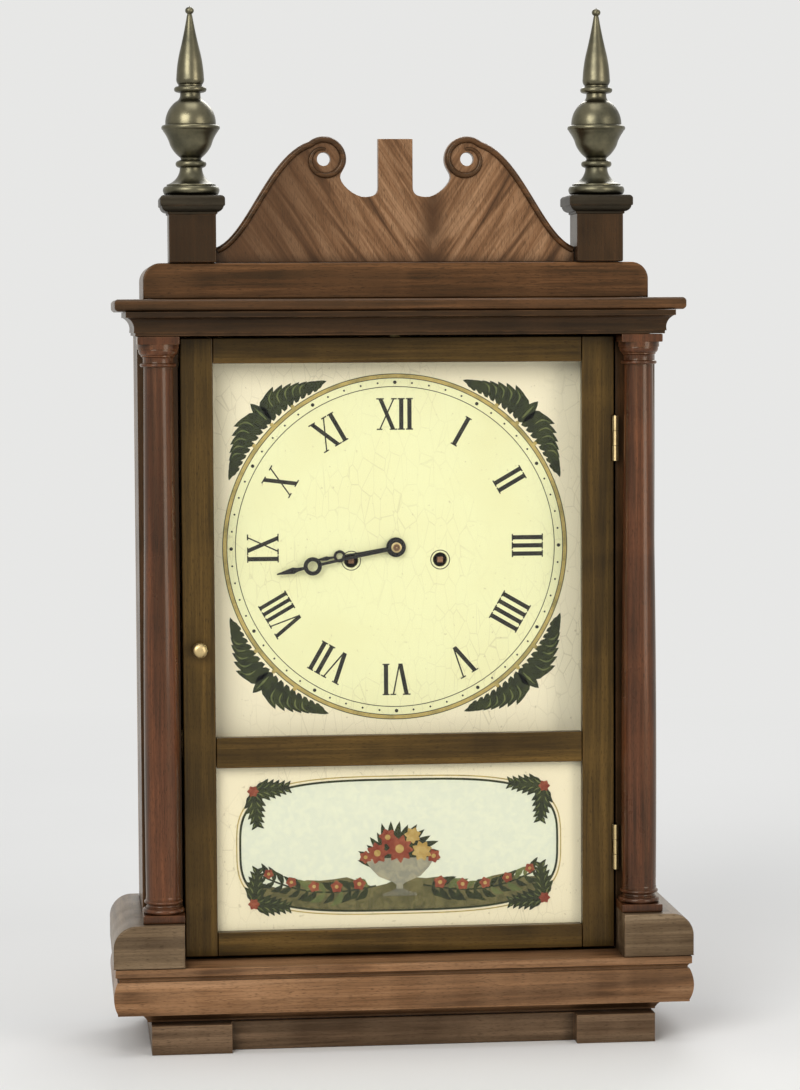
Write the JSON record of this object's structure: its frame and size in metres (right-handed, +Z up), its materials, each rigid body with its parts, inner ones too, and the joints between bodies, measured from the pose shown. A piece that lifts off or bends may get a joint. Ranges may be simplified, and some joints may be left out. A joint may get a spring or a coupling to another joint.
{
  "type": "shelf clock",
  "caption": "Shelf clock with turned pillars, a scrolled crest, a glazed door with a painted tablet, and a weight-driven wooden movement with strike.",
  "frame": {"origin": "middle of the footprint, on the surface that the clock stands on", "axes": "+Z up, the dial faces -Y, +X to the viewer's right"},
  "size_m": [0.436, 0.144, 0.78],
  "materials": {
    "mahogany": "dark polished mahogany",
    "veneer": "polished mahogany veneer",
    "pine": "bare aged pine",
    "oak": "bare oak",
    "cherry": "bare cherry wood",
    "brass": "aged brass",
    "steel": "blued wire and steel",
    "iron": "rough cast iron",
    "dial_paint": "cream paint on a wooden board",
    "glass": "clear old window glass",
    "tablet": "glass painted on its back",
    "hand_paint": "black lacquer",
    "hemp": "twisted hemp"
  },
  "bodies": {
    "case": {"plinth": "mahogany", "base_moulding": "veneer", "pedestal_right": "veneer", "pedestal_left": "veneer", "case_side_right": "veneer", "case_side_left": "veneer", "backboard": "pine", "column_right": "mahogany", "column_left": "mahogany", "bed_moulding": "veneer", "cornice_board": "mahogany", "blocking_course": "veneer", "crest": "veneer", "finial_plinth_right": "mahogany", "finial_plinth_left": "mahogany", "finial_right": "brass", "finial_left": "brass", "dial_rail_upper": "pine", "dial_rail_lower": "pine", "dial": "dial_paint", "hinge_case_leaf_lower": "brass", "hinge_case_leaf_upper": "brass", "front_plate": "oak", "back_plate": "oak", "bell": "brass", "time_cord": "hemp", "strike_cord": "hemp"},
    "door": {"door_rail_bottom": "veneer", "door_rail_middle": "veneer", "door_rail_top": "veneer", "door_stile_right": "veneer", "door_stile_left": "veneer", "dial_glass": "glass", "tablet_glass": "tablet", "hinge_door_leaf_lower": "brass", "hinge_door_leaf_upper": "brass"},
    "latch": {"door_latch": "brass"},
    "dial_button": {"turn_button": "brass"},
    "pendulum": {"pendulum_rod": "brass", "pendulum_bob": "brass"},
    "verge_body": {"verge": "brass"},
    "minute_body": {"minute_hand": "hand_paint", "cannon_pinion": "cherry"},
    "minute_wheel_body": {"minute_wheel": "cherry"},
    "hour_body": {"hour_wheel": "cherry", "hour_hand": "hand_paint"},
    "escape_body": {"escape_wheel": "brass"},
    "third_body": {"third_wheel": "cherry"},
    "centre_body": {"centre_wheel": "cherry"},
    "time_great_body": {"time_great_wheel": "cherry"},
    "time_drum_body": {"time_drum": "cherry"},
    "time_pulley_body": {"time_pulley": "brass"},
    "time_weight_body": {"time_weight": "iron"},
    "fly_body": {"fly": "cherry"},
    "pin_wheel_body": {"pin_wheel": "cherry"},
    "strike_great_body": {"strike_great_wheel": "cherry"},
    "strike_drum_body": {"strike_drum": "cherry"},
    "strike_pulley_body": {"strike_pulley": "brass"},
    "strike_weight_body": {"strike_weight": "iron"},
    "hammer_body": {"hammer": "steel"}
  },
  "joints": [
    {"name": "door_swing", "type": "hinge", "parent": "case", "child": "door", "pos_m": [0.1641, -0.0384, 0.3], "axis": [0, 0, 1], "range_deg": [0, 92]},
    {"name": "latch_turn", "type": "hinge", "parent": "door", "child": "latch", "pos_m": [-0.1511, -0.03, 0.30075], "axis": [0, 1, 0], "range_deg": [0, 90]},
    {"name": "dial_button_turn", "type": "hinge", "parent": "case", "child": "dial_button", "pos_m": [0, -0.0111, 0.5272], "axis": [0, 1, 0], "range_deg": [0, 90]},
    {"name": "pendulum_swing", "type": "hinge", "parent": "case", "child": "pendulum", "pos_m": [0.016, 0.008, 0.47278], "axis": [0, 1, 0], "range_deg": [-3.5, 3.5]},
    {"name": "verge_rock", "type": "hinge", "parent": "case", "child": "verge_body", "pos_m": [0.016, 0.0135, 0.47278], "axis": [0, 1, 0], "range_deg": [-3.5, 3.5]},
    {"name": "minute_turn", "type": "hinge", "parent": "case", "child": "minute_body", "pos_m": [0, 0, 0.374], "axis": [0, 1, 0], "continuous": true},
    {"name": "minute_wheel_turn", "type": "hinge", "parent": "case", "child": "minute_wheel_body", "pos_m": [0, 0.007, 0.344], "axis": [0, 1, 0], "continuous": true},
    {"name": "hour_turn", "type": "hinge", "parent": "case", "child": "hour_body", "pos_m": [0, -0.005, 0.374], "axis": [0, 1, 0], "continuous": true},
    {"name": "escape_turn", "type": "hinge", "parent": "case", "child": "escape_body", "pos_m": [0.016, 0.014, 0.43478], "axis": [0, 1, 0], "continuous": true},
    {"name": "third_turn", "type": "hinge", "parent": "case", "child": "third_body", "pos_m": [0.00811, 0.039, 0.40428], "axis": [0, 1, 0], "continuous": true},
    {"name": "centre_turn", "type": "hinge", "parent": "case", "child": "centre_body", "pos_m": [0, 0.028, 0.374], "axis": [0, 1, 0], "continuous": true},
    {"name": "time_great_turn", "type": "hinge", "parent": "case", "child": "time_great_body", "pos_m": [0.034, 0.05, 0.364], "axis": [0, 1, 0], "continuous": true},
    {"name": "time_winding", "type": "hinge", "parent": "case", "child": "time_drum_body", "pos_m": [0.034, 0.042, 0.364], "axis": [0, 1, 0], "range_deg": [0, 1800]},
    {"name": "time_pulley_turn", "type": "hinge", "parent": "case", "child": "time_pulley_body", "pos_m": [0.12, 0.04225, 0.5575], "axis": [0, -1, 0], "range_deg": [0, 1260]},
    {"name": "time_weight_rise", "type": "slide", "parent": "case", "child": "time_weight_body", "axis": [0, 0, 1], "range_m": [0, 0.2885], "deforming": ["time_cord"]},
    {"name": "fly_turn", "type": "hinge", "parent": "case", "child": "fly_body", "pos_m": [-0.03832, 0.04, 0.41613], "axis": [0, 1, 0], "continuous": true},
    {"name": "pin_wheel_turn", "type": "hinge", "parent": "case", "child": "pin_wheel_body", "pos_m": [-0.04453, 0.033, 0.39294], "axis": [0, 1, 0], "continuous": true},
    {"name": "strike_great_turn", "type": "hinge", "parent": "case", "child": "strike_great_body", "pos_m": [-0.034, 0.05, 0.364], "axis": [0, 1, 0], "continuous": true},
    {"name": "strike_winding", "type": "hinge", "parent": "case", "child": "strike_drum_body", "pos_m": [-0.034, 0.042, 0.364], "axis": [0, -1, 0], "range_deg": [0, 1800]},
    {"name": "strike_pulley_turn", "type": "hinge", "parent": "case", "child": "strike_pulley_body", "pos_m": [-0.12, 0.04225, 0.5575], "axis": [0, 1, 0], "range_deg": [0, 1260]},
    {"name": "strike_weight_rise", "type": "slide", "parent": "case", "child": "strike_weight_body", "axis": [0, 0, 1], "range_m": [0, 0.2885], "deforming": ["strike_cord"]},
    {"name": "hammer_lift", "type": "hinge", "parent": "case", "child": "hammer_body", "pos_m": [-0.056, 0.04, 0.331], "axis": [0, -1, 0], "range_deg": [0, 12]}
  ],
  "couplings": [
    {"joint": "verge_rock", "follows": "pendulum_swing", "ratio": 1},
    {"joint": "minute_wheel_turn", "follows": "minute_turn", "ratio": -0.33333},
    {"joint": "hour_turn", "follows": "minute_turn", "ratio": 0.083333},
    {"joint": "third_turn", "follows": "escape_turn", "ratio": -0.125},
    {"joint": "centre_turn", "follows": "escape_turn", "ratio": 0.0125},
    {"joint": "time_great_turn", "follows": "escape_turn", "ratio": -0.0020833},
    {"joint": "time_winding", "follows": "time_weight_rise", "rad_per_m": 108.7},
    {"joint": "time_pulley_turn", "follows": "time_weight_rise", "rad_per_m": 74.392},
    {"joint": "pin_wheel_turn", "follows": "fly_turn", "ratio": -0.11111},
    {"joint": "strike_great_turn", "follows": "fly_turn", "ratio": 0.018519},
    {"joint": "strike_winding", "follows": "strike_weight_rise", "rad_per_m": 108.7},
    {"joint": "strike_pulley_turn", "follows": "strike_weight_rise", "rad_per_m": 74.392}
  ]
}
